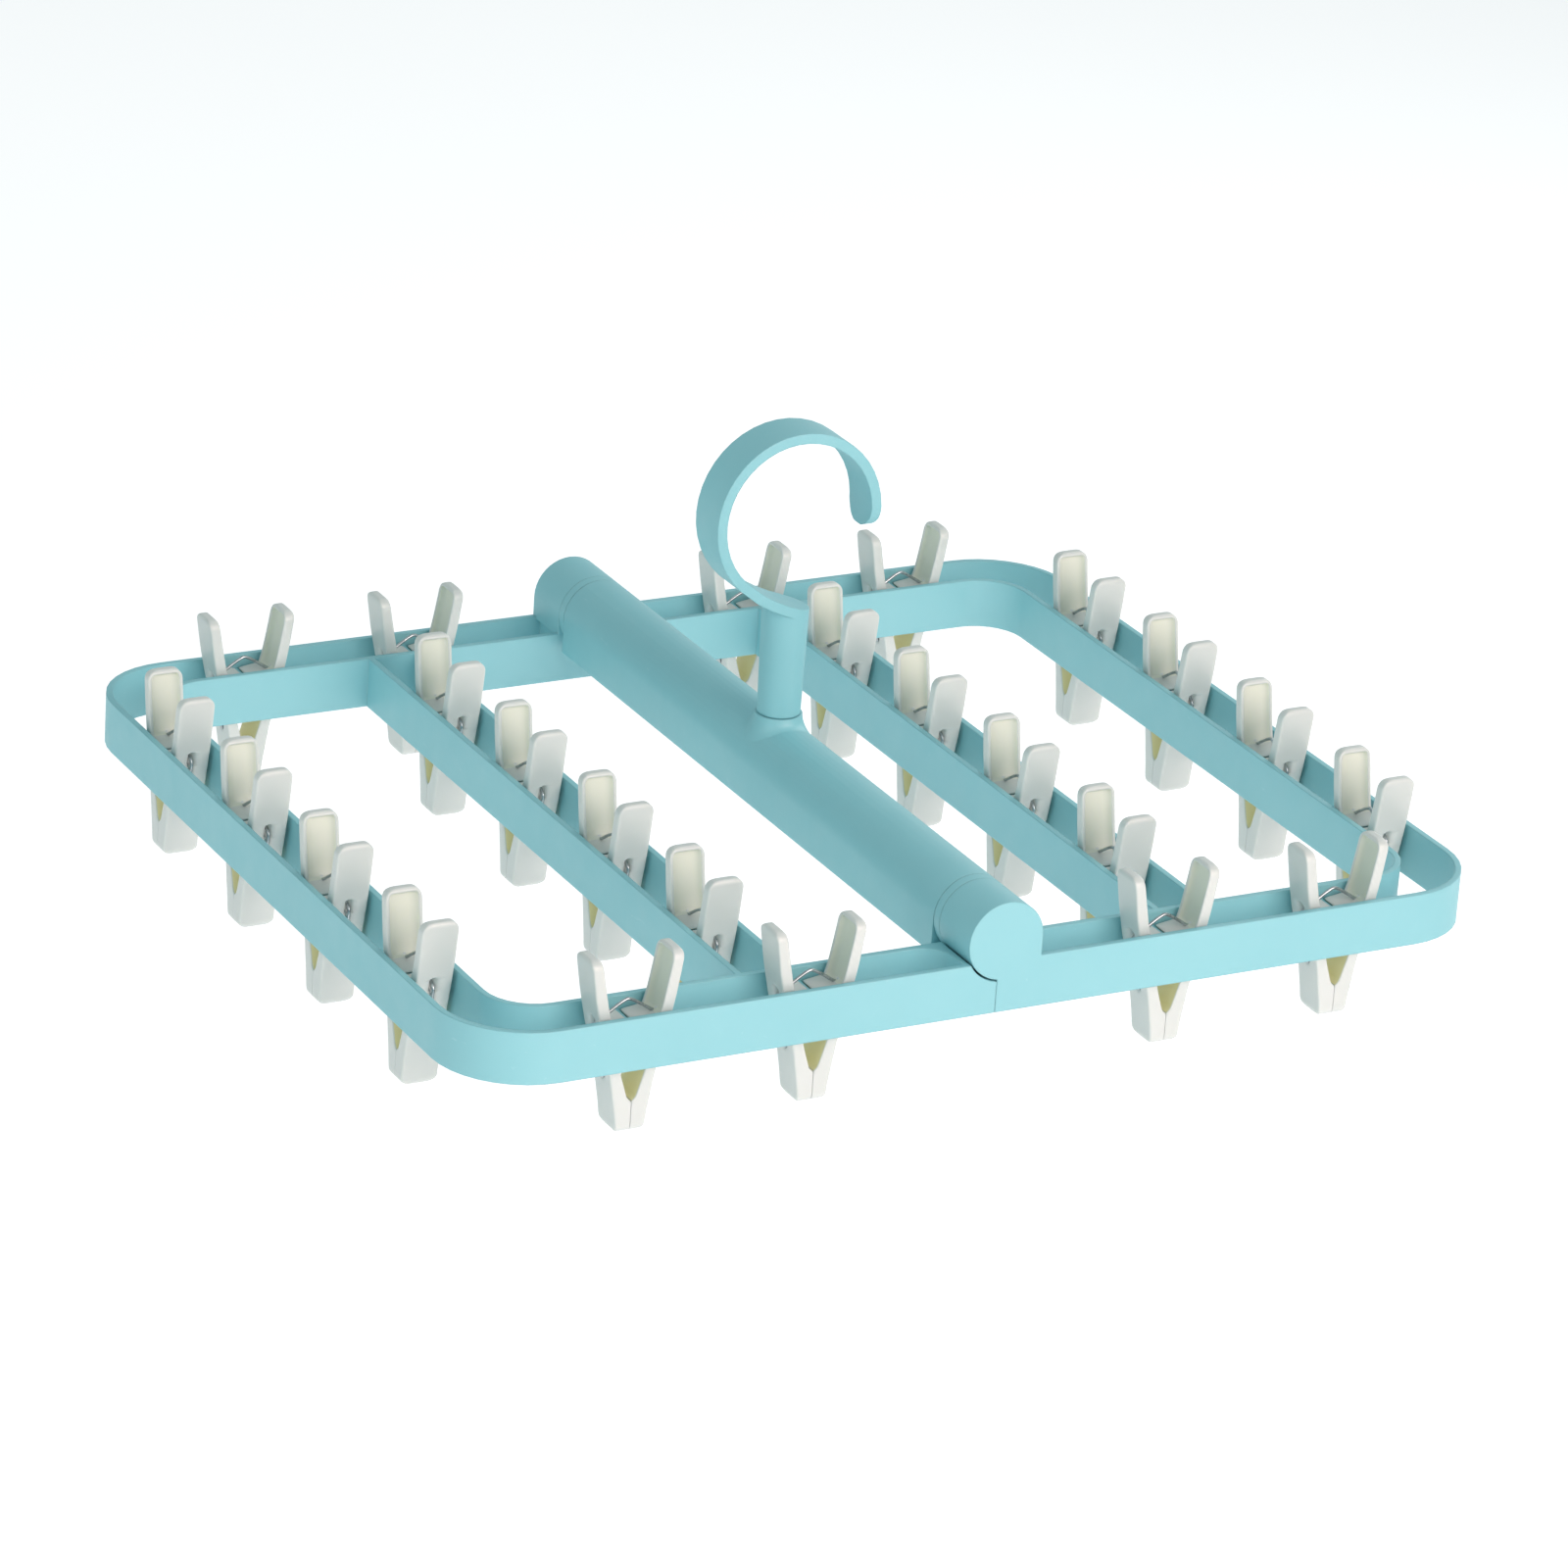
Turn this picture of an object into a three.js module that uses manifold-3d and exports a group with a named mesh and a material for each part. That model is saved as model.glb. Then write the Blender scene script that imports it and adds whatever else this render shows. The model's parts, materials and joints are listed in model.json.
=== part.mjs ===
// Clip drying hanger: two folding half frames on a spine, a swivelling hook and spring pegs.
// Millimetres. +X runs across the spine, +Y along it, +Z up. The origin is the point inside the
// top of the hook that rests on a rod; heights in the source are counted from the rails' top edge.
import * as THREE from 'three';
import { mergeVertices } from 'three/addons/utils/BufferGeometryUtils.js';
import Module from 'manifold-3d';

const wasm = await Module();
wasm.setup();

// Running gap between pieces that move or bear on one another.
const GAP = 0.3;

const FRAME = {
  halfLength: 210,
  halfWidth: 180,
  railHeight: 20,
  railWidth: 22.6,
  wall: 2.4,
  outerCorner: 34,
  innerCorner: 18,
  barCentre: 86,
  knuckleEndWall: 13,
  recessEndWall: 16,
  recessEndFillet: 10,
};

const HINGE = {
  height: 7.8,
  radius: 15.1,
  abutment: 2.6,
  recessClearance: 0.8,
  earThickness: 4.2,
  seam: 0.15,
  earArmReach: 15,
  earArmTop: -4,
  pinRadius: 3,
  pinClearance: 0.15,
  pinIntoKnuckle: 15,
  pinIntoSpine: 6,
};

const SPINE = {
  wall: 2.4,
  skirtBottom: -6,
  endWall: 4,
  bossRadius: 9.1,
  bossTop: 26.5,
  flareTop: 26.1,
  flareReach: 4.3,
  flareSink: 0.2,
  hubBottom: 13.5,
};

const HOOK = {
  stemTopRadius: 9,
  stemBottomRadius: 8.3,
  stemFlareHeight: 66,
  stemBlankTop: 80,
  loopCentreX: -1.3,
  loopCentreZ: 106.8,
  loopRadius: 32.4,
  thickness: 4,
  width: 18,
  tipAngle: -13.5,
  swivelRadius: 4.5,
  swivelClearance: 0.15,
  grooveRadius: 3.5,
  retainerRadius: 8,
  retainerThickness: 2.2,
};

const PEG = {
  width: 14.4,
  pinRadius: 2,
  pinHeight: -7,
  saddleRadius: 2.4,
  jawBottom: -46,
  top: 21.8,
  seam: 0.15,
  topCorner: 4,
  jawCorner: 3,
  recessDepth: 2.1,
  recessRim: 1.6,
  recessBottom: -1.4,
  slotTop: -1.2,
  slotBottom: -6.6,
  slotWidth: 2.2,
  grooveDepth: 1.2,
  holeHeight: -26,
  holeSize: 2.4,
};

// Where the pegs hang: distances from the frame's centre along each rail.
const FRONT_PEGS = [145.5, 73];
const SIDE_PEGS = [108.6, 36.2, -36.2, -108.6];

const HOOK_INNER_RADIUS = HOOK.loopRadius - HOOK.thickness / 2;
const ORIGIN_Z = HOOK.loopCentreZ
  + Math.sqrt(HOOK_INNER_RADIUS ** 2 - HOOK.loopCentreX ** 2);

const AQUA = { color: 0x8fd0d6, roughness: 0.5, metalness: 0 };
const OFF_WHITE = { color: 0xe6e6de, roughness: 0.45, metalness: 0 };
const STEEL = { color: 0xb4b6b8, roughness: 0.3, metalness: 1 };

// ---- geometry helpers ----

function solid(geometry) {
  const bare = geometry.clone();
  bare.deleteAttribute('normal');
  bare.deleteAttribute('uv');
  const merged = mergeVertices(bare, 1e-4);
  return new wasm.Manifold(new wasm.Mesh({
    numProp: 3,
    vertProperties: new Float32Array(merged.attributes.position.array),
    triVerts: new Uint32Array(merged.index.array),
  }));
}

function meshOf(body, name, finish) {
  const data = body.getMesh();
  const geometry = new THREE.BufferGeometry();
  geometry.setAttribute('position', new THREE.BufferAttribute(data.vertProperties, 3));
  geometry.setIndex(new THREE.BufferAttribute(data.triVerts, 1));
  geometry.translate(0, 0, -ORIGIN_Z);
  geometry.computeVertexNormals();
  const mesh = new THREE.Mesh(geometry, new THREE.MeshStandardMaterial(finish));
  mesh.name = name;
  return mesh;
}

// The outline is turned anticlockwise, as the holes' walls need.
function extruded(points, holes, depth) {
  const outline = points.map(([a, b]) => new THREE.Vector2(a, b));
  if (THREE.ShapeUtils.isClockWise(outline)) {
    outline.reverse();
  }
  const shape = new THREE.Shape(outline);
  for (const hole of holes) {
    shape.holes.push(new THREE.Path(hole.map(([a, b]) => new THREE.Vector2(a, b))));
  }
  return new THREE.ExtrudeGeometry(shape, { depth, bevelEnabled: false });
}

// Outline in X and Y, raised from z0 to z1.
function prismZ(points, z0, z1, holes = []) {
  return solid(extruded(points, holes, z1 - z0).translate(0, 0, z0));
}

// Outline in X and Z, running from y0 to y1.
function prismY(points, y0, y1) {
  return solid(extruded(points, [], y1 - y0).rotateX(Math.PI / 2).translate(0, y1, 0));
}

// Outline in Y and Z, running from x0 to x1.
function prismX(points, x0, x1) {
  const turn = new THREE.Matrix4().makeBasis(
    new THREE.Vector3(0, 1, 0),
    new THREE.Vector3(0, 0, 1),
    new THREE.Vector3(1, 0, 0),
  );
  return solid(extruded(points, [], x1 - x0).applyMatrix4(turn).translate(x0, 0, 0));
}

function cylinderY(radius, x, y0, y1, z, segments = 32) {
  const geometry = new THREE.CylinderGeometry(radius, radius, y1 - y0, segments);
  return solid(geometry.translate(x, (y0 + y1) / 2, z));
}

function rectangle(a0, a1, b0, b1) {
  return [[a0, b0], [a1, b0], [a1, b1], [a0, b1]];
}

// Points on a circular arc, from one angle to the other in degrees.
function arc(centreA, centreB, radius, from, to, steps) {
  return Array.from({ length: steps + 1 }, (_, i) => {
    const angle = THREE.MathUtils.degToRad(from + (to - from) * i / steps);
    return [centreA + radius * Math.cos(angle), centreB + radius * Math.sin(angle)];
  });
}

// ---- half frame ----

const INNER_FACE_Y = FRAME.halfWidth - FRAME.railWidth;
const EAR_FACE_Y = INNER_FACE_Y - HINGE.seam;
const SPINE_END_Y = INNER_FACE_Y - HINGE.earThickness - GAP;

// Outline of a U that opens towards +X, a distance `inset` inside the frame's outer face.
function railPath(inset, cornerRadius, frontEndX, backEndX, steps) {
  const left = -FRAME.halfLength + inset;
  const side = FRAME.halfWidth - inset;
  return [
    [frontEndX, -side],
    ...arc(left + cornerRadius, -side + cornerRadius, cornerRadius, 270, 180, steps),
    ...arc(left + cornerRadius, side - cornerRadius, cornerRadius, 180, 90, steps),
    [backEndX, side],
  ];
}

// The channel stops short of the hinge at both ends: square beside the knuckle, and with one
// rounded corner beside the recess.
function channelOutline() {
  const { wall, railWidth, outerCorner, innerCorner } = FRAME;
  const { knuckleEndWall, recessEndWall, recessEndFillet } = FRAME;
  const filletX = -recessEndWall - recessEndFillet;
  const innerSide = INNER_FACE_Y + wall;
  const inner = railPath(railWidth - wall, innerCorner + wall, filletX, -knuckleEndWall, 7);
  return [
    ...railPath(wall, outerCorner - wall, -recessEndWall, -knuckleEndWall, 9),
    ...inner.reverse(),
    ...arc(filletX, -innerSide - recessEndFillet, recessEndFillet, 90, 0, 4).slice(1),
  ];
}

function framePlan() {
  const { wall, railWidth, outerCorner, innerCorner, barCentre } = FRAME;
  const barOuter = -barCentre - railWidth / 2;
  const barInner = -barCentre + railWidth / 2;
  const frontEnd = -HINGE.abutment - HINGE.seam / 2;
  const backEnd = HINGE.abutment - HINGE.seam / 2;
  const outline = [
    ...railPath(0, outerCorner, frontEnd, backEnd, 9),
    [backEnd, INNER_FACE_Y],
    [barInner, INNER_FACE_Y],
    [barInner, -INNER_FACE_Y],
    [frontEnd, -INNER_FACE_Y],
  ];
  const window = railPath(railWidth, innerCorner, barOuter, barOuter, 7);
  const barChannel = rectangle(barOuter + wall, barInner - wall, -INNER_FACE_Y, INNER_FACE_Y);
  return { outline, openings: [window, channelOutline(), barChannel] };
}

// Pins that cross the channels and carry the pegs.
function pegPins() {
  const { halfLength, halfWidth, railWidth, barCentre } = FRAME;
  const reach = railWidth / 2 - 1;
  const pin = cylinderY(PEG.pinRadius, 0, -reach, reach, PEG.pinHeight, 10);
  const sidePin = pin.rotate([0, 0, 90]);
  const pins = [];
  for (const x of FRONT_PEGS) {
    for (const side of [-1, 1]) {
      pins.push(pin.translate([-x, side * (halfWidth - railWidth / 2), 0]));
    }
  }
  for (const y of SIDE_PEGS) {
    for (const x of [-halfLength + railWidth / 2, -barCentre]) {
      pins.push(sidePin.translate([x, y, 0]));
    }
  }
  return wasm.Manifold.union(pins);
}

// The left half; the right half is the same moulding turned half a turn about the spine's middle.
// Its back end carries the knuckle, whose rail side stands straight up. Its front end is hollowed
// to hug the other half's knuckle and turns on the same axis by an ear on the rail's inner face.
function halfFrame() {
  const { halfWidth, railHeight } = FRAME;
  const { height, radius, abutment, recessClearance, seam } = HINGE;
  const { earThickness, earArmReach, earArmTop } = HINGE;
  const { outline, openings } = framePlan();
  const moulding = prismZ(outline, -railHeight, 0);
  const cuts = openings.map((points) => prismZ(points, -railHeight - 1, 1));
  const earInner = -INNER_FACE_Y + earThickness;
  const recess = cylinderY(radius + recessClearance, 0, -halfWidth - 1, -EAR_FACE_Y, height, 40);
  const knuckle = cylinderY(radius, 0, INNER_FACE_Y, halfWidth, height, 40);
  const knuckleSide = prismY(rectangle(-radius, 0, -1, height), INNER_FACE_Y, halfWidth);
  const ear = cylinderY(radius, 0, -EAR_FACE_Y, earInner, height, 40);
  const earArm = prismY(
    rectangle(-earArmReach, -abutment - seam / 2, -railHeight, earArmTop),
    -INNER_FACE_Y - 0.5,
    earInner,
  );
  const boreRadius = HINGE.pinRadius + HINGE.pinClearance;
  const earBore = cylinderY(boreRadius, 0, -INNER_FACE_Y - 1, earInner + 1, height, 24);
  const blindBore = cylinderY(
    boreRadius, 0, INNER_FACE_Y - 1, INNER_FACE_Y + HINGE.pinIntoKnuckle, height, 24,
  );
  return moulding
    .subtract(wasm.Manifold.union(cuts))
    .add(pegPins())
    .add(earArm)
    .subtract(recess)
    .add(knuckle)
    .add(knuckleSide)
    .add(ear)
    .subtract(earBore)
    .subtract(blindBore);
}

function hingePin() {
  const outerEnd = INNER_FACE_Y + HINGE.pinIntoKnuckle - GAP;
  const innerEnd = SPINE_END_Y - HINGE.pinIntoSpine;
  return cylinderY(HINGE.pinRadius, 0, innerEnd, outerEnd, HINGE.height, 24);
}

// ---- spine ----

function archOutline(radius, bottom) {
  return [
    [-radius, bottom],
    [radius, bottom],
    ...arc(0, HINGE.height, radius, 0, 180, 20),
  ];
}

// Boss under the hook. Its foot flares out to meet the spine's round back smoothly, so the flare
// reaches further down over the spine's flanks than along its crest.
function spineBoss() {
  const { bossRadius, bossTop, flareTop, flareReach, flareSink, hubBottom } = SPINE;
  const foot = bossRadius + flareReach;
  const blends = [1, 0.85, 0.7, 0.55, 0.4, 0.25, 0];
  const profile = [
    new THREE.Vector2(0, hubBottom),
    new THREE.Vector2(foot, hubBottom),
    ...blends.map((t) => new THREE.Vector2(bossRadius + flareReach * t * t, flareTop)),
    new THREE.Vector2(bossRadius, bossTop),
    new THREE.Vector2(0, bossTop),
  ];
  const geometry = new THREE.LatheGeometry(profile, 48).rotateX(Math.PI / 2);
  const { position } = geometry.attributes;
  for (let i = 0; i < position.count; i += 1) {
    const t = blends[i % profile.length - 2];
    if (t !== undefined) {
      const across = position.getX(i) / (bossRadius + flareReach * t * t);
      const rise = Math.sqrt(HINGE.radius ** 2 - (foot * across) ** 2);
      const footZ = HINGE.height + rise;
      const cornerZ = footZ + flareReach * foot * across ** 2 / rise;
      const z = (1 - t) ** 2 * flareTop + 2 * t * (1 - t) * cornerZ + t * t * (footZ - flareSink);
      position.setZ(i, z);
    }
  }
  return solid(geometry);
}

function spine() {
  const { wall, skirtBottom, endWall, bossTop } = SPINE;
  const end = SPINE_END_Y;
  const inner = HINGE.radius - wall;
  const shell = prismY(archOutline(HINGE.radius, skirtBottom), -end, end);
  const hollow = prismY(archOutline(inner, skirtBottom - 1), -end + endWall, end - endWall);
  const swivelBore = solid(new THREE.CylinderGeometry(
    HOOK.swivelRadius + HOOK.swivelClearance,
    HOOK.swivelRadius + HOOK.swivelClearance,
    40,
    24,
  ).rotateX(Math.PI / 2).translate(0, 0, bossTop));
  const pinBore = cylinderY(
    HINGE.pinRadius + HINGE.pinClearance, 0, -end - 1, end + 1, HINGE.height, 24,
  );
  return shell.subtract(hollow).add(spineBoss()).subtract(swivelBore).subtract(pinBore);
}

// ---- hook ----

// Centre line of the hook's strip, from the rounded tip round to the stem.
function hookCentreLine() {
  const { loopCentreX, loopCentreZ, loopRadius, tipAngle } = HOOK;
  const loop = arc(loopCentreX, loopCentreZ, loopRadius, tipAngle, 236, 30);
  return [...loop, [-15.2, 76.6], [-10, 73.6], [-4, 70.8], [2.5, 68.4], [9.4, 66.6]];
}

function offsetLine(points, distance) {
  return points.map(([x, z], i) => {
    const [x0, z0] = points[Math.max(i - 1, 0)];
    const [x1, z1] = points[Math.min(i + 1, points.length - 1)];
    const length = Math.hypot(x1 - x0, z1 - z0);
    return [x + distance * (z1 - z0) / length, z - distance * (x1 - x0) / length];
  });
}

function hook() {
  const { thickness, width, stemTopRadius, stemBottomRadius, stemFlareHeight } = HOOK;
  const { stemBlankTop, swivelRadius, grooveRadius } = HOOK;
  const centre = hookCentreLine();
  const outer = offsetLine(centre, thickness / 2);
  const inner = offsetLine(centre, -thickness / 2);
  const strip = prismY([...outer, ...inner.reverse()], -width / 2, width / 2);
  const tipX = centre[0][0];
  const tipZ = centre[0][1];
  const half = width / 2;
  const tipCorners = prismX([
    [-half - 1, tipZ - 3],
    [half + 1, tipZ - 3],
    [half + 1, tipZ + half],
    ...arc(0, tipZ + half, half, 0, -180, 16),
    [-half - 1, tipZ + half],
  ], tipX - thickness * 2, tipX + thickness * 2);
  const seat = SPINE.bossTop + GAP;
  const grooveTop = SPINE.hubBottom - GAP;
  const grooveBottom = grooveTop - HOOK.retainerThickness - GAP;
  const stem = solid(new THREE.LatheGeometry([
    new THREE.Vector2(0, grooveBottom - 1.6),
    new THREE.Vector2(swivelRadius - 0.6, grooveBottom - 1.6),
    new THREE.Vector2(swivelRadius, grooveBottom - 1),
    new THREE.Vector2(swivelRadius, grooveBottom),
    new THREE.Vector2(grooveRadius, grooveBottom),
    new THREE.Vector2(grooveRadius, grooveTop),
    new THREE.Vector2(swivelRadius, grooveTop),
    new THREE.Vector2(swivelRadius, seat),
    new THREE.Vector2(stemBottomRadius, seat),
    new THREE.Vector2(stemTopRadius, stemFlareHeight),
    new THREE.Vector2(stemTopRadius, stemBlankTop),
    new THREE.Vector2(0, stemBlankTop),
  ], 32).rotateX(Math.PI / 2));
  const bend = centre.slice(-6);
  const underStrip = prismY([
    ...bend,
    [width, bend[5][1]],
    [width, 0],
    [bend[0][0], 0],
  ], -width, width);
  const stemEnd = prismZ([
    [0, -width],
    [width, -width],
    [width, width],
    [0, width],
    ...arc(0, 0, stemTopRadius, 90, -90, 16),
  ], stemFlareHeight - thickness, stemFlareHeight + thickness * 2);
  return stem.intersect(underStrip).add(strip.subtract(tipCorners).subtract(stemEnd));
}

function hookRetainer() {
  const { retainerRadius, grooveRadius, retainerThickness, swivelClearance } = HOOK;
  const ring = arc(0, 0, retainerRadius, 0, 345, 23);
  const hole = arc(0, 0, grooveRadius + swivelClearance, 0, 337.5, 15);
  const top = SPINE.hubBottom - GAP * 1.5;
  return prismZ(ring, top - retainerThickness, top, [hole]);
}

// ---- peg leg ----

// Side view of the leg on the +X side of the fulcrum, with the peg closed.
function legProfile() {
  const { seam, jawBottom, top, pinHeight, saddleRadius } = PEG;
  return [
    [seam, jawBottom],
    [4.9, jawBottom],
    [5.7, jawBottom + 1.2],
    [6.4, -39],
    [8.9, -24],
    [13.4, -6],
    [15.9, 6],
    [18, 20],
    [17.7, top - 0.7],
    [17, top],
    [14.9, top],
    [13.9, top - 0.8],
    [12.4, 12],
    [10.3, 1],
    [9, -3.2],
    [1.7, -4.4],
    ...arc(0, pinHeight, saddleRadius, 50, -86, 4),
    [seam, -10.6],
    [6.2, -15.6],
    [4.8, -22.5],
    [3, -28.4],
    [1.8, -32.2],
    [1, -33.4],
    [seam, -33.9],
  ];
}

// Broad view of the leg: rounded at the handle's top corners and, less so, at the jaw's.
function legOutline() {
  const { width, top, jawBottom, topCorner, jawCorner } = PEG;
  const half = width / 2;
  return [
    ...arc(-half + jawCorner, jawBottom + jawCorner, jawCorner, 180, 270, 2),
    ...arc(half - jawCorner, jawBottom + jawCorner, jawCorner, 270, 360, 2),
    ...arc(half - topCorner, top - topCorner, topCorner, 0, 90, 3),
    ...arc(-half + topCorner, top - topCorner, topCorner, 90, 180, 3),
  ];
}

function leg() {
  const { width, top, topCorner, recessDepth, recessRim, recessBottom } = PEG;
  const { slotTop, slotBottom, slotWidth, grooveDepth, holeHeight, holeSize } = PEG;
  const half = width / 2;
  const slab = prismY(legProfile(), -half, half).intersect(prismX(legOutline(), -1, 30));
  const recessTop = top - recessRim;
  const recessSlice = prismY([
    [9, recessBottom],
    [10.7 + recessDepth, recessBottom],
    [12.4 + recessDepth, 12],
    [13.3 + recessDepth, recessTop],
    [9, recessTop],
  ], -half, half);
  const recessHalf = half - recessRim;
  const corner = topCorner - recessRim;
  const recessOutline = prismX([
    [-recessHalf, recessBottom],
    [recessHalf, recessBottom],
    ...arc(recessHalf - corner, recessTop - corner, corner, 0, 90, 1),
    ...arc(-recessHalf + corner, recessTop - corner, corner, 90, 180, 1),
  ], 5, 20);
  const slot = prismX(rectangle(-slotWidth / 2, slotWidth / 2, slotBottom, slotTop), 8, 16);
  const groove = prismY([
    [13.5 - grooveDepth, slotBottom + 1],
    [8.9 - grooveDepth, -24],
    [8.4 - grooveDepth, holeHeight],
    [20, holeHeight],
    [20, slotBottom + 1],
  ], -slotWidth / 2, slotWidth / 2);
  const hole = prismX(
    rectangle(-holeSize / 2, holeSize / 2, holeHeight - holeSize / 2, holeHeight + holeSize / 2),
    0,
    12,
  );
  return slab
    .subtract(recessSlice.intersect(recessOutline))
    .subtract(slot)
    .subtract(groove)
    .subtract(hole);
}

// ---- assembly ----

// Every peg's place: rail name, centre in X and Y, and the turn of its length direction.
function pegPlaces() {
  const { halfLength, halfWidth, railWidth, barCentre } = FRAME;
  const railX = halfLength - railWidth / 2;
  const railY = halfWidth - railWidth / 2;
  const columns = [
    ['left_rail', -railX],
    ['left_bar', -barCentre],
    ['right_bar', barCentre],
    ['right_rail', railX],
  ];
  const places = [];
  for (const [rail, x] of columns) {
    SIDE_PEGS.forEach((y, i) => places.push({ name: `${rail}_${i + 1}`, x, y, turn: -90 }));
  }
  const crossings = [-FRONT_PEGS[0], -FRONT_PEGS[1], FRONT_PEGS[1], FRONT_PEGS[0]];
  for (const [rail, y] of [['front_rail', -railY], ['back_rail', railY]]) {
    crossings.forEach((x, i) => places.push({ name: `${rail}_${i + 1}`, x, y, turn: 0 }));
  }
  return places;
}

const hanger = new THREE.Group();
hanger.name = 'clip_drying_hanger';

const leftFrame = halfFrame();
const backPin = hingePin();
hanger.add(
  meshOf(hook(), 'hook', AQUA),
  meshOf(hookRetainer(), 'hook_retainer', STEEL),
  meshOf(spine(), 'spine', AQUA),
  meshOf(leftFrame, 'frame_left', AQUA),
  meshOf(leftFrame.rotate([0, 0, 180]), 'frame_right', AQUA),
  meshOf(backPin, 'hinge_pin_back', STEEL),
  meshOf(backPin.rotate([0, 0, 180]), 'hinge_pin_front', STEEL),
);

const plusLeg = leg();
const minusLeg = plusLeg.rotate([0, 0, 180]);
for (const { name, x, y, turn } of pegPlaces()) {
  for (const [side, body] of [['a', minusLeg], ['b', plusLeg]]) {
    const placed = body.rotate([0, 0, turn]).translate([x, y, 0]);
    hanger.add(meshOf(placed, `peg_${name}_leg_${side}`, OFF_WHITE));
  }
}

export default hanger;
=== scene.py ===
import json
import math

import bmesh
import bpy
import numpy as np
from mathutils import Matrix, Vector

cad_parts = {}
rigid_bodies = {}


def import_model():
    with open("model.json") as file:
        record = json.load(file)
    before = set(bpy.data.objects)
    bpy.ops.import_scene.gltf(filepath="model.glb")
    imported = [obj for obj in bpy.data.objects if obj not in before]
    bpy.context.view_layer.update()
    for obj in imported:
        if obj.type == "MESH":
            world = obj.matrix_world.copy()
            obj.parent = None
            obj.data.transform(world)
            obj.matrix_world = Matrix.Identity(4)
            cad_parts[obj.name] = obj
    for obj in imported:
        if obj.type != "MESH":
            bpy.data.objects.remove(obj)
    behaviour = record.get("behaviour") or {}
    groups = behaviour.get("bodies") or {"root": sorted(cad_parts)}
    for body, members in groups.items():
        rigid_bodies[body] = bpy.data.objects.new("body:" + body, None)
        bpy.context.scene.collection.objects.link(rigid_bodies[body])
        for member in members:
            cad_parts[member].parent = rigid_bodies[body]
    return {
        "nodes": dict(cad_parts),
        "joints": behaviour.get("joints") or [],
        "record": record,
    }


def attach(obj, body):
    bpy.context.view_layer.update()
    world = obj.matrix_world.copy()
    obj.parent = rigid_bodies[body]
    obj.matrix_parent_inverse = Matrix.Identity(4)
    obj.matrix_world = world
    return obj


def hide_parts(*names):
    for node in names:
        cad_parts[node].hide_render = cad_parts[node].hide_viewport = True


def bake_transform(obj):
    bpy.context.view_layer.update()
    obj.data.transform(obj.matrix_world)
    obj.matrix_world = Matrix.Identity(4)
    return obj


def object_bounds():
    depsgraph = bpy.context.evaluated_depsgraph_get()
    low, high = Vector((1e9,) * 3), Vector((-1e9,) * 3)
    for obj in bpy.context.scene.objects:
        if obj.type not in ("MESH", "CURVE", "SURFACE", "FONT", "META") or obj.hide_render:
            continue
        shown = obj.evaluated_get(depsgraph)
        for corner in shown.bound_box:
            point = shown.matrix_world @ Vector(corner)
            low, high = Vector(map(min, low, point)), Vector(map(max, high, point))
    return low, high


for default in list(bpy.data.objects):
    bpy.data.objects.remove(default)

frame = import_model()
cad_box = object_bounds()

MM = 0.001

# The camera: its angles about the point it looks at in degrees, its distance from there in
# metres, and its lens in millimetres.
CAMERA_AZIMUTH = -29.02
CAMERA_ELEVATION = 22.68
CAMERA_ROLL = 3.92
CAMERA_DISTANCE = 2.685
CAMERA_TARGET = Vector((0.0163, 0.0212, -0.1513))
CAMERA_LENS = 160.7

FLOOR_DROP = 0.55

# One leg of a peg, millimetres from the peg's middle. Each profile lists (height, distance out).
LEG_OUTER = [
    (-46.0, 4.8), (-44.8, 5.7), (-39.0, 6.4), (-24.0, 8.9),
    (-6.0, 13.4), (6.0, 15.9), (20.0, 18.0), (21.1, 17.8), (21.8, 17.2),
]
LEG_INNER = [
    (-46.0, 0.08), (-33.9, 0.08), (-33.4, 1.0), (-32.2, 1.8), (-28.4, 3.0), (-22.5, 4.8),
    (-15.6, 6.2), (-10.6, 0.2), (-4.5, 0.2), (-4.2, 1.7), (-3.4, 8.8), (1.0, 10.3),
    (12.0, 12.4), (21.0, 13.9), (21.8, 14.6),
]
LEG_TOP = 21.8
LEG_BOTTOM = -46.0
LEG_HALF_WIDTH = 7.2
LEG_TOP_CORNER = 4.0
LEG_JAW_CORNER = 3.0
LEG_EDGE_RADIUS = 0.6
LEG_JAW_EDGE_RADIUS = 0.2
LEG_RIM = 1.6
LEG_RECESS_DEPTH = 2.1
LEG_RECESS_SPAN = (-3.0, 20.2)
LEG_GAP_SPAN = (-34.0, -10.6)
LEG_GROOVE_SPAN = (-26.6, -0.9)
LEG_SLOT_SPAN = (-7.2, -1.5)
LEG_GROOVE_DEPTH = 1.2
LEG_SLOT_DEPTH = 3.4
LEG_GROOVE_HALF_WIDTH = 0.85
LEG_GROOVE_CHAMFER = 0.3
LEG_RECESS_WALL_SLOPE = 0.35
PIN_HEIGHT = -7.0
SADDLE_RADIUS = 2.4

# Heights up a leg where its shape changes, each with the number of rings that lead up to it.
LEG_LEVELS = [
    (-45.8, 1), (-43.0, 4), (-34.5, 4), (-33.9, 1), (-31.6, 4), (-28.4, 2), (-26.6, 1),
    (-26.0, 1), (-16.6, 3), (-15.6, 1), (-11.4, 2), (-10.6, 1), (-9.4, 1), (-7.2, 3),
    (-6.7, 1), (-4.6, 2), (-4.2, 1), (-3.4, 1), (-2.4, 2), (-1.5, 2), (-0.9, 1),
    (0.3, 1), (17.4, 5), (19.6, 3), (20.2, 1), (21.4, 3), (21.8, 2),
]

# The points that round a leg's edge, in edge radii from its corner.
EDGE_START = 1.4
EDGE_MIDDLE = 0.3
JAW_EDGE_MIDDLE = 0.25

# How far a leg's end is drawn in towards its middle before it is closed, at the jaw and the top.
JAW_END_INSET = 0.5
TOP_END_INSET = 0.4

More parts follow.
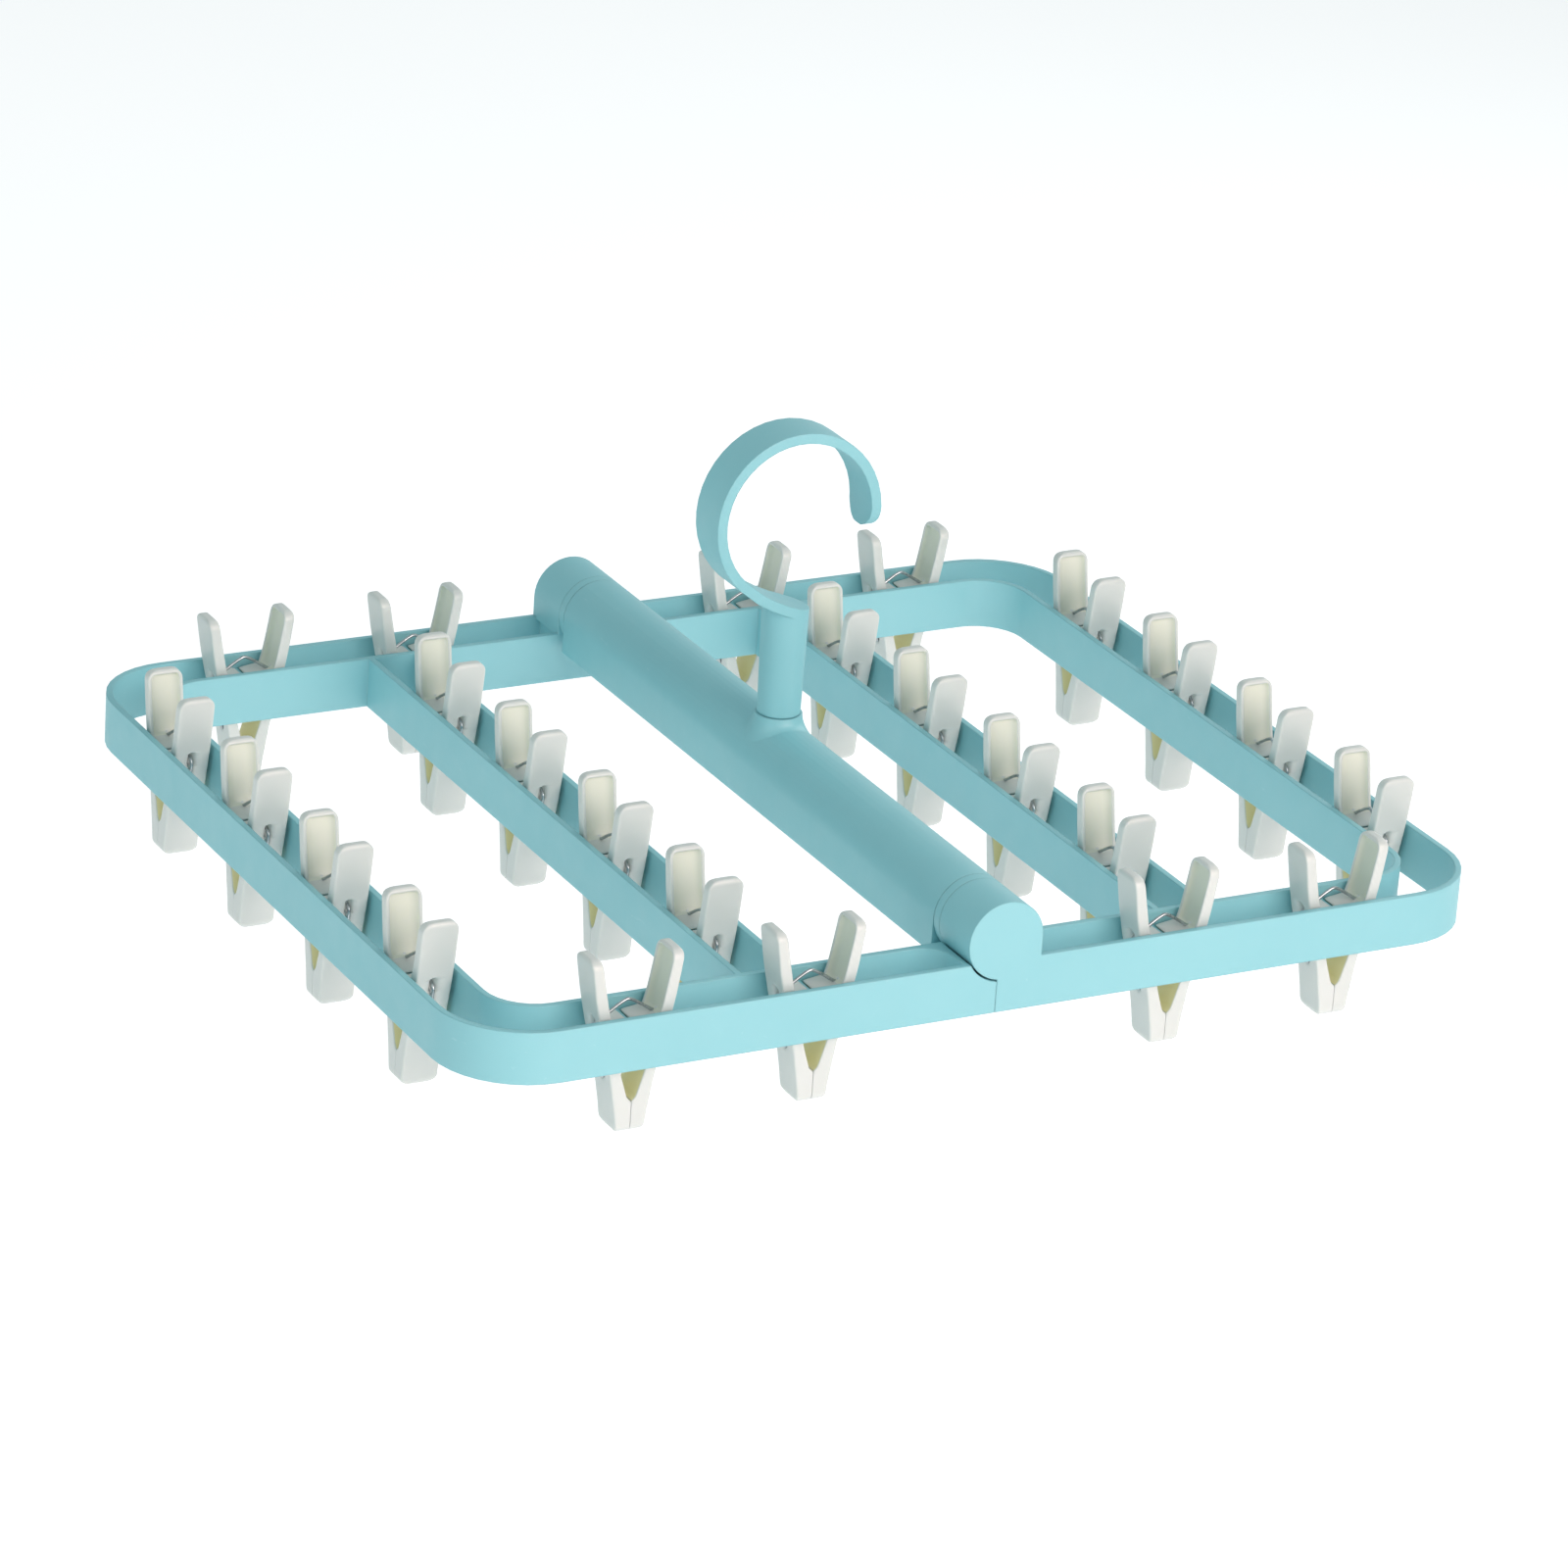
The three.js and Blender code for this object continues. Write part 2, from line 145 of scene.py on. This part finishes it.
# The spring's wire, from its top down one side: (distance out, height).
SPRING_SIDE = [
    (0.0, 2.7), (1.3, 2.3), (4.0, 0.8), (9.3, -2.7), (12.3, -4.4), (13.2, -5.6),
    (13.2, -7.2), (11.2, -15.0), (8.9, -24.0), (8.2, -25.9), (6.9, -26.5), (5.2, -26.3),
]
SPRING_WIRE_RADIUS = 0.62

# Mouldings: points closer than the weld distance are one point, faces within the flat angle are
# one face, and edges past the sharp angle stay crisp. The spine's boss ends within its reach.
WELD_DISTANCE = 0.000005
FLAT_ANGLE = math.radians(0.5)
SHARP_ANGLE = math.radians(38)
BOSS_REACH = 16 * MM
RETAINER_EDGE_RADIUS = 0.25 * MM
HINGE_PIN_EDGE_RADIUS = 0.4 * MM

# The plastic's surface: noise scales in cells per metre, relief in metres.
PLASTIC_GLOSS = 0.9
PLASTIC_IOR = 1.49
FLOW_SCALE = 14.0
SCUFF_SCALE = 260.0
POLISH_SCALE = 90.0
GRAIN_SCALE = 2600.0
GRAIN_RELIEF = 0.00006

# The steel's surface, in the same units.
FILM_SCALE = 220.0
DRAWN_POLISH_SCALE = 900.0
DRAWN_MARK_SCALE = 3000.0
DRAWN_MARK_RELIEF = 0.00003

# Soft round lights: name, place in metres, width in metres, watts and colour.
LIGHTS = [
    ("key", (0.5, -2.4, 0.9), 1.8, 52, (1.0, 0.78, 0.74)),
    ("fill", (-2.4, -0.9, 0.9), 2.2, 11, (1.0, 0.99, 0.98)),
    ("rim", (2.2, 1.0, 1.0), 2.0, 18, (1.0, 1.0, 1.0)),
]
LIGHTS_AIM = (0, 0, -0.14)
WORLD_COLOUR = (0.90, 1.0, 1.02)
WORLD_STRENGTH = 0.53
FLOOR_GLOW = 0.35
FLOOR_HALF_SIZE = 6.0


# ---- materials ----

def new_material(name):
    material = bpy.data.materials.new(name)
    material.use_nodes = True
    tree = material.node_tree
    tree.nodes.clear()
    shader = tree.nodes.new("ShaderNodeBsdfPrincipled")
    output = tree.nodes.new("ShaderNodeOutputMaterial")
    tree.links.new(shader.outputs["BSDF"], output.inputs["Surface"])
    return material, tree, shader


def noise(tree, scale, detail=3.0, roughness=0.5, stretch=(1.0, 1.0, 1.0)):
    """Noise over the object's own coordinates, in metres."""
    place = tree.nodes.new("ShaderNodeTexCoord")
    mapping = tree.nodes.new("ShaderNodeMapping")
    mapping.inputs["Scale"].default_value = stretch
    texture = tree.nodes.new("ShaderNodeTexNoise")
    texture.inputs["Scale"].default_value = scale
    texture.inputs["Detail"].default_value = detail
    texture.inputs["Roughness"].default_value = roughness
    tree.links.new(place.outputs["Object"], mapping.inputs["Vector"])
    tree.links.new(mapping.outputs["Vector"], texture.inputs["Vector"])
    return texture.outputs["Fac"]


def spread(tree, value, low, high, to_low, to_high):
    """Stretches the part of a value between low and high to another range."""
    remap = tree.nodes.new("ShaderNodeMapRange")
    remap.inputs["From Min"].default_value = low
    remap.inputs["From Max"].default_value = high
    remap.inputs["To Min"].default_value = to_low
    remap.inputs["To Max"].default_value = to_high
    tree.links.new(value, remap.inputs["Value"])
    return remap.outputs["Result"]


def blend_colours(tree, value, first, second):
    mix = tree.nodes.new("ShaderNodeMix")
    mix.data_type = "RGBA"
    tree.links.new(value, mix.inputs[0])
    for socket, colour in ((mix.inputs[6], first), (mix.inputs[7], second)):
        if isinstance(colour, bpy.types.NodeSocket):
            tree.links.new(colour, socket)
        else:
            socket.default_value = (*colour, 1.0)
    return mix.outputs[2]


def bump(tree, shader, height, distance, strength, edge_radius=0.0):
    """Fine relief, over edges that look rounded by edge_radius metres."""
    node = tree.nodes.new("ShaderNodeBump")
    node.inputs["Strength"].default_value = strength
    node.inputs["Distance"].default_value = distance
    tree.links.new(height, node.inputs["Height"])
    tree.links.new(node.outputs["Normal"], shader.inputs["Normal"])
    if edge_radius > 0:
        edge = tree.nodes.new("ShaderNodeBevel")
        edge.samples = 6
        edge.inputs["Radius"].default_value = edge_radius
        tree.links.new(edge.outputs["Normal"], node.inputs["Normal"])


def plastic(name, colour, streak, scuff, roughness, subsurface, scatter, edge_radius=0.0):
    """Moulded plastic: soft flow streaks, a fine spark-eroded grain and faint pale scuffs."""
    material, tree, shader = new_material(name)
    flow = spread(tree, noise(tree, FLOW_SCALE, 4.0, 0.55), 0.35, 0.68, 0.0, 1.0)
    scuffs = noise(tree, SCUFF_SCALE, 6.0, 0.7, (1.0, 0.25, 1.0))
    marks = spread(tree, scuffs, 0.66, 0.78, 0.0, 0.5)
    body = blend_colours(tree, flow, colour, streak)
    tree.links.new(blend_colours(tree, marks, body, scuff), shader.inputs["Base Color"])
    shine = noise(tree, POLISH_SCALE, 5.0, 0.6)
    polish = spread(tree, shine, 0.3, 0.7, roughness - 0.06, roughness + 0.08)
    tree.links.new(polish, shader.inputs["Roughness"])
    bump(tree, shader, noise(tree, GRAIN_SCALE, 2.0, 0.6), GRAIN_RELIEF, 0.28, edge_radius)
    shader.inputs["IOR"].default_value = PLASTIC_IOR
    shader.inputs["Specular IOR Level"].default_value = PLASTIC_GLOSS
    shader.inputs["Subsurface Weight"].default_value = subsurface
    shader.inputs["Subsurface Radius"].default_value = scatter
    shader.inputs["Subsurface Scale"].default_value = 1.0
    return material


def steel(name):
    """Drawn wire and rod: bright metal with fine lengthwise marks and a little dull film."""
    material, tree, shader = new_material(name)
    film = spread(tree, noise(tree, FILM_SCALE, 5.0, 0.6), 0.4, 0.7, 0.0, 1.0)
    tree.links.new(
        blend_colours(tree, film, (0.50, 0.56, 0.58), (0.32, 0.36, 0.37)),
        shader.inputs["Base Color"],
    )
    polish = spread(tree, noise(tree, DRAWN_POLISH_SCALE, 3.0, 0.6), 0.3, 0.7, 0.24, 0.42)
    tree.links.new(polish, shader.inputs["Roughness"])
    drawn = noise(tree, DRAWN_MARK_SCALE, 2.0, 0.5, (1.0, 0.2, 0.2))
    bump(tree, shader, drawn, DRAWN_MARK_RELIEF, 0.3)
    shader.inputs["Metallic"].default_value = 1.0
    return material


def add_painted_glow(material, colour, strength):
    """Painted glow: emission that stands in for light coming through thin plastic from behind."""
    shader = material.node_tree.nodes["Principled BSDF"]
    shader.inputs["Emission Color"].default_value = (*colour, 1.0)
    shader.inputs["Emission Strength"].default_value = strength


AQUA = plastic(
    "aqua_polypropylene",
    colour=(0.207, 0.512, 0.562),
    streak=(0.222, 0.535, 0.584),
    scuff=(0.37, 0.64, 0.69),
    roughness=0.50,
    subsurface=0.12,
    scatter=(0.0008, 0.0016, 0.0018),
    edge_radius=0.0008,
)
PEG_WHITE = plastic(
    "peg_polypropylene",
    colour=(0.545, 0.600, 0.580),
    streak=(0.585, 0.640, 0.620),
    scuff=(0.70, 0.74, 0.72),
    roughness=0.42,
    subsurface=0.4,
    scatter=(0.0026, 0.0026, 0.0022),
)
# Painted shade: the jaw window between the legs takes an olive copy of the peg plastic, standing in for
# the far leg's inner face lying in shadow there. The emission added below is a painted glow.
PEG_GAP_PAINTED_SHADE = plastic(
    "peg_polypropylene_gap_painted_shade",
    colour=(0.600, 0.590, 0.360),
    streak=(0.640, 0.630, 0.400),
    scuff=(0.70, 0.69, 0.50),
    roughness=0.6,
    subsurface=0.2,
    scatter=(0.0026, 0.0024, 0.0012),
)
add_painted_glow(PEG_GAP_PAINTED_SHADE, (0.85, 0.82, 0.42), 0.11)
# Painted light: the handle recess takes a lighter, greener copy of the peg plastic. It stands in for
# light through the translucent plastic and for the greenish tint of its shade there.
PEG_RECESS_PAINTED_LIGHT = plastic(
    "peg_polypropylene_recess_painted_light",
    colour=(0.630, 0.680, 0.590),
    streak=(0.670, 0.720, 0.630),
    scuff=(0.75, 0.79, 0.73),
    roughness=0.5,
    subsurface=0.3,
    scatter=(0.0026, 0.0026, 0.0018),
)
STEEL = steel("drawn_steel")


# ---- mouldings that keep their CAD shape ----

def link(piece):
    bpy.context.scene.collection.objects.link(piece)
    return piece


def smooth(mesh):
    mesh.polygons.foreach_set("use_smooth", [True] * len(mesh.polygons))


def baked(piece):
    """The piece's mesh with its modifiers applied."""
    bpy.context.view_layer.update()
    graph = bpy.context.evaluated_depsgraph_get()
    return bpy.data.meshes.new_from_object(piece.evaluated_get(graph))


def moulding(node, name, material, cuts=()):
    """A smooth-shaded moulding of a CAD node's shape, with its facets joined into whole faces.

    Each cut adds a ring of edges across Y, so that shading beside a boss stays beside it.
    """
    mesh = bpy.data.meshes.new(name)
    shape = bmesh.new()
    shape.from_mesh(frame["nodes"][node].data)
    bmesh.ops.remove_doubles(shape, verts=shape.verts, dist=WELD_DISTANCE)
    bmesh.ops.dissolve_limit(
        shape,
        angle_limit=FLAT_ANGLE,
        verts=shape.verts,
        edges=shape.edges,
    )
    bmesh.ops.connect_verts_concave(shape, faces=shape.faces)
    for y in cuts:
        bmesh.ops.bisect_plane(
            shape,
            geom=[*shape.verts, *shape.edges, *shape.faces],
            plane_co=(0, y, 0),
            plane_no=(0, 1, 0),
        )
    shape.normal_update()
    for edge in shape.edges:
        edge.smooth = edge.calc_face_angle(0) < SHARP_ANGLE
    shape.to_mesh(mesh)
    shape.free()
    smooth(mesh)
    mesh.materials.append(material)
    piece = link(bpy.data.objects.new(name, mesh))
    normals = piece.modifiers.new("even_shading", "WEIGHTED_NORMAL")
    normals.keep_sharp = True
    body = next(b for b, nodes in frame["record"]["behaviour"]["bodies"].items() if node in nodes)
    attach(piece, body)
    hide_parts(node)
    return piece


def round_edges(piece, radius):
    rounding = piece.modifiers.new("edges", "BEVEL")
    rounding.width = radius
    rounding.segments = 3
    rounding.limit_method = "ANGLE"
    rounding.angle_limit = SHARP_ANGLE
    rounding.use_clamp_overlap = False
    rounding.harden_normals = True


# ---- peg legs ----

def at(profile, height):
    heights, distances = zip(*profile)
    return float(np.interp(height, heights, distances))


def ramp(height, span, edge):
    """1 inside a span of heights, 0 outside, with a short slope at each end."""
    low, high = span
    rise = np.clip((height - low) / edge, 0, 1)
    fall = np.clip((high - height) / edge, 0, 1)
    return float(min(rise, fall))


def leg_half_width(height):
    if height > 0:
        corner = LEG_TOP_CORNER
        beyond = height - (LEG_TOP - corner)
    else:
        corner = LEG_JAW_CORNER
        beyond = LEG_BOTTOM + corner - height
    beyond = min(max(beyond, 0), corner)
    return LEG_HALF_WIDTH - corner + math.sqrt(corner ** 2 - beyond ** 2)


def leg_inner(height):
    inner = at(LEG_INNER, height)
    above_pin = abs(height - PIN_HEIGHT)
    if above_pin < SADDLE_RADIUS:
        inner = max(inner, math.sqrt(SADDLE_RADIUS ** 2 - above_pin ** 2))
    return inner


def leg_section(height):
    """One level section through the leg, from the middle of its outer face round to the inner."""
    outer = at(LEG_OUTER, height)
    inner = leg_inner(height)
    half = leg_half_width(height)
    radius = min(LEG_EDGE_RADIUS, (outer - inner) * 0.3, half * 0.4)
    inner_radius = min(radius, LEG_JAW_EDGE_RADIUS) if height < LEG_GAP_SPAN[0] else radius
    groove = LEG_GROOVE_DEPTH * ramp(height, LEG_GROOVE_SPAN, 0.6)
    slot = (LEG_SLOT_DEPTH - LEG_GROOVE_DEPTH) * ramp(height, LEG_SLOT_SPAN, 0.5)
    recess = LEG_RECESS_DEPTH * ramp(height, LEG_RECESS_SPAN, 0.6)
    rim = min(half - LEG_RIM, half * 0.8)
    slit = min(LEG_GROOVE_HALF_WIDTH, half * 0.4)
    side = [
        (outer - groove - slot, 0.0),
        (outer - groove - slot, slit),
        (outer, min(slit + LEG_GROOVE_CHAMFER, half * 0.5)),
        (outer, half - radius * EDGE_START),
        (outer - radius * EDGE_MIDDLE, half - radius * EDGE_MIDDLE),
        (outer - radius * EDGE_START, half),
        (inner + inner_radius, half),
        (inner + inner_radius * JAW_EDGE_MIDDLE, half - inner_radius * JAW_EDGE_MIDDLE),
        (inner, half - inner_radius),
        (inner, rim),
        (inner + recess, rim - LEG_RECESS_WALL_SLOPE),
        (inner + recess, 0.0),
    ]
    far_side = [(u, -y) for u, y in reversed(side[1:-1])]
    return [(u, y, height) for u, y in side + far_side]


def leg_heights():
    heights = [LEG_BOTTOM]
    for level, rings in LEG_LEVELS:
        below = heights[-1]
        heights += [below + (level - below) * (i + 1) / rings for i in range(rings)]
    return heights


def leg_material_index(height, place, count):
    """Which of the leg's materials a face takes, from its height and its place round the ring: the jaw
    window takes the olive painted-shade plastic, and the recess takes the lighter painted-light
    plastic.
    """
    from_inside = abs(place - (count - 1) / 2)
    if LEG_GAP_SPAN[0] < height < LEG_GAP_SPAN[1] and from_inside < 3:
        return 1
    if LEG_RECESS_SPAN[0] < height < LEG_RECESS_SPAN[1] and from_inside < 2:
        return 2
    return 0


def leg_mesh():
    shape = bmesh.new()
    heights = leg_heights()
    rings = []
    for height in heights:
        rings.append([shape.verts.new(Vector(p) * MM) for p in leg_section(height)])
    count = len(rings[0])
    for level, (lower, upper) in enumerate(zip(rings, rings[1:])):
        middle = (heights[level] + heights[level + 1]) / 2
        for i in range(count):
            j = (i + 1) % count
            face = shape.faces.new((lower[i], lower[j], upper[j], upper[i]))
            face.material_index = leg_material_index(middle, i, count)
    for ring, inset in ((rings[0], JAW_END_INSET), (rings[-1], TOP_END_INSET)):
        middle = sum((v.co for v in ring), Vector()) / count
        cap = [shape.verts.new(v.co.lerp(middle, inset)) for v in ring]
        for i in range(count):
            j = (i + 1) % count
            shape.faces.new((ring[i], ring[j], cap[j], cap[i]))
        shape.faces.new(cap)
    bmesh.ops.recalc_face_normals(shape, faces=shape.faces)
    mesh = bpy.data.meshes.new("peg_leg_cage")
    shape.to_mesh(mesh)
    shape.free()
    cage = link(bpy.data.objects.new("peg_leg_cage", mesh))
    cage.modifiers.new("surface", "SUBSURF").levels = 1
    finished = baked(cage)
    finished.name = "peg_leg"
    bpy.data.objects.remove(cage)
    smooth(finished)
    for material in (PEG_WHITE, PEG_GAP_PAINTED_SHADE, PEG_RECESS_PAINTED_LIGHT):
        finished.materials.append(material)
    return finished


# ---- peg springs ----

def spring_mesh():
    side = [Vector((u, 0, z)) * MM for u, z in SPRING_SIDE]
    other = [Vector((-p.x, 0, p.z)) for p in reversed(side[1:])]
    route = other + side
    curve = bpy.data.curves.new("spring_route", "CURVE")
    curve.dimensions = "3D"
    curve.resolution_u = 3
    curve.bevel_depth = SPRING_WIRE_RADIUS * MM
    curve.bevel_resolution = 2
    curve.use_fill_caps = True
    spline = curve.splines.new("BEZIER")
    spline.bezier_points.add(len(route) - 1)
    for point, place in zip(spline.bezier_points, route):
        point.co = place
        point.handle_left_type = "AUTO"
        point.handle_right_type = "AUTO"
    wire = link(bpy.data.objects.new("spring_route", curve))
    finished = baked(wire)
    finished.name = "peg_spring"
    bpy.data.objects.remove(wire)
    smooth(finished)
    finished.materials.append(STEEL)
    return finished


def dress_pegs():
    leg = leg_mesh()
    spring = spring_mesh()
    for joint in frame["joints"]:
        if not joint["name"].startswith("squeeze_"):
            continue
        peg = joint["name"].removeprefix("squeeze_")
        x, y, pin_z = joint["pos_m"]
        along_x = abs(joint["axis"][1]) > 0.5
        turn = 0.0 if along_x else -math.pi / 2
        place = Matrix.Translation((x, y, pin_z - PIN_HEIGHT * MM))
        for side, half_turn in (("a", math.pi), ("b", 0.0)):
            piece = link(bpy.data.objects.new(f"peg_{peg}_leg_{side}_moulding", leg))
            piece.matrix_world = place @ Matrix.Rotation(turn + half_turn, 4, "Z")
            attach(piece, f"peg_{peg}_{side}")
            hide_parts(f"peg_{peg}_leg_{side}")
        wire = link(bpy.data.objects.new(f"peg_{peg}_spring", spring.copy()))
        wire.matrix_world = place @ Matrix.Rotation(turn, 4, "Z")
        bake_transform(wire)


# ---- studio ----

def camera_rotation():
    azimuth = math.radians(CAMERA_AZIMUTH)
    elevation = math.radians(CAMERA_ELEVATION)
    back = Vector((
        math.sin(azimuth) * math.cos(elevation),
        -math.cos(azimuth) * math.cos(elevation),
        math.sin(elevation),
    ))
    right = (-back).cross(Vector((0, 0, 1))).normalized()
    up = right.cross(-back)
    upright = Matrix((right, up, back)).transposed()
    return upright @ Matrix.Rotation(math.radians(CAMERA_ROLL), 3, "Z"), back


def add_camera():
    lens = bpy.data.cameras.new("camera")
    lens.lens = CAMERA_LENS
    lens.sensor_width = 36
    lens.clip_end = 50
    camera = link(bpy.data.objects.new("camera", lens))
    rotation, back = camera_rotation()
    camera.matrix_world = Matrix.Translation(CAMERA_TARGET + back * CAMERA_DISTANCE) @ rotation.to_4x4()
    bpy.context.scene.camera = camera


def add_area(name, place, size, power, colour):
    light = bpy.data.lights.new(name, "AREA")
    light.shape = "DISK"
    light.size = size
    light.energy = power
    light.color = colour
    lamp = link(bpy.data.objects.new(name, light))
    lamp.location = place
    lamp.rotation_euler = (Vector(LIGHTS_AIM) - Vector(place)).to_track_quat("-Z", "Y").to_euler()


def add_studio():
    for light in LIGHTS:
        add_area(*light)
    world = bpy.data.worlds.new("studio")
    world.use_nodes = True
    background = world.node_tree.nodes["Background"]
    background.inputs["Color"].default_value = (*WORLD_COLOUR, 1.0)
    background.inputs["Strength"].default_value = WORLD_STRENGTH
    bpy.context.scene.world = world
    bpy.context.scene.view_settings.view_transform = "Standard"


def add_floor():
    material, tree, shader = new_material("studio_floor")
    tone = spread(tree, noise(tree, 0.8, 2.0), 0.3, 0.7, 0.0, 1.0)
    tree.links.new(
        blend_colours(tree, tone, (0.94, 0.94, 0.94), (0.96, 0.96, 0.96)),
        shader.inputs["Base Color"],
    )
    shader.inputs["Roughness"].default_value = 0.9
    shader.inputs["Emission Color"].default_value = (1.0, 1.0, 1.0, 1.0)
    shader.inputs["Emission Strength"].default_value = FLOOR_GLOW
    level = cad_box[0].z - FLOOR_DROP
    half = FLOOR_HALF_SIZE
    mesh = bpy.data.meshes.new("floor")
    corners = [(-half, -half, level), (half, -half, level), (half, half, level), (-half, half, level)]
    mesh.from_pydata(corners, [], [(0, 1, 2, 3)])
    mesh.materials.append(material)
    link(bpy.data.objects.new("floor", mesh))


for node in ("frame_left", "frame_right"):
    moulding(node, f"{node}_moulding", AQUA)
moulding("spine", "spine_moulding", AQUA, cuts=(-BOSS_REACH, BOSS_REACH))
moulding("hook", "hook_moulding", AQUA)
retainer = moulding("hook_retainer", "hook_retainer_ring", STEEL)
round_edges(retainer, RETAINER_EDGE_RADIUS)
for end in ("back", "front"):
    pin = moulding(f"hinge_pin_{end}", f"hinge_pin_{end}_rod", STEEL)
    round_edges(pin, HINGE_PIN_EDGE_RADIUS)
dress_pegs()
add_camera()
add_studio()
add_floor()
